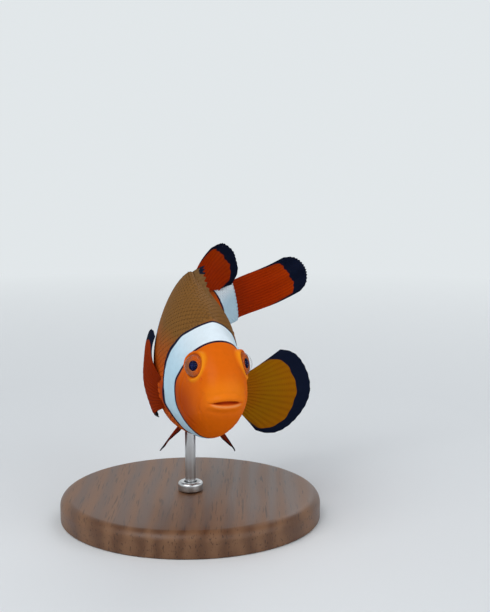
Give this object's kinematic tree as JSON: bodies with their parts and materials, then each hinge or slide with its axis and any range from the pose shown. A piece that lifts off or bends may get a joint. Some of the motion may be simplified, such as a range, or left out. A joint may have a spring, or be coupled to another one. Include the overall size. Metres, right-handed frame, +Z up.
{
  "type": "clownfish display model",
  "caption": "Life-size clownfish facing forward with its tail swung to its left, orange with white bands and black-edged fins, on a rod over a round wooden base.",
  "frame": {"origin": "centre of the round base's underside, on the floor", "axes": "+Z up, the head faces -Y, +X is the fish's left"},
  "size_m": [0.0616, 0.0731, 0.0634],
  "materials": {
    "face_orange": "wet, smooth fish skin",
    "flank_orange": "wet, finely scaled fish skin",
    "back_brown": "wet, finely scaled fish skin",
    "band_white": "wet, finely scaled fish skin with a thin dark edge",
    "fin_red_orange": "thin rayed fin with a black margin",
    "fin_amber": "thin rayed fin with a black tip",
    "eye_dark": "clear, glossy eye",
    "base_wood": "satin walnut",
    "rod_steel": "satin"
  },
  "bodies": {
    "root": {"head": "face_orange", "upper_lip": "face_orange", "lower_jaw": "face_orange", "head_band": "band_white", "trunk": "back_brown", "mid_band": "band_white", "rear_trunk": "flank_orange", "tail_stalk": "band_white", "eye_left": "eye_dark", "eye_right": "eye_dark", "gill_cover_left": "band_white", "gill_cover_right": "band_white", "fin_pelvic_left": "fin_red_orange", "fin_pelvic_right": "fin_red_orange", "fin_dorsal_spiny": "back_brown", "fin_dorsal_soft": "fin_red_orange", "fin_anal": "fin_red_orange", "fin_tail": "fin_red_orange", "fin_pectoral_left": "fin_amber", "fin_pectoral_right": "fin_amber", "stand_base": "base_wood", "stand_rod": "rod_steel", "stand_collar": "rod_steel"}
  },
  "joints": []
}
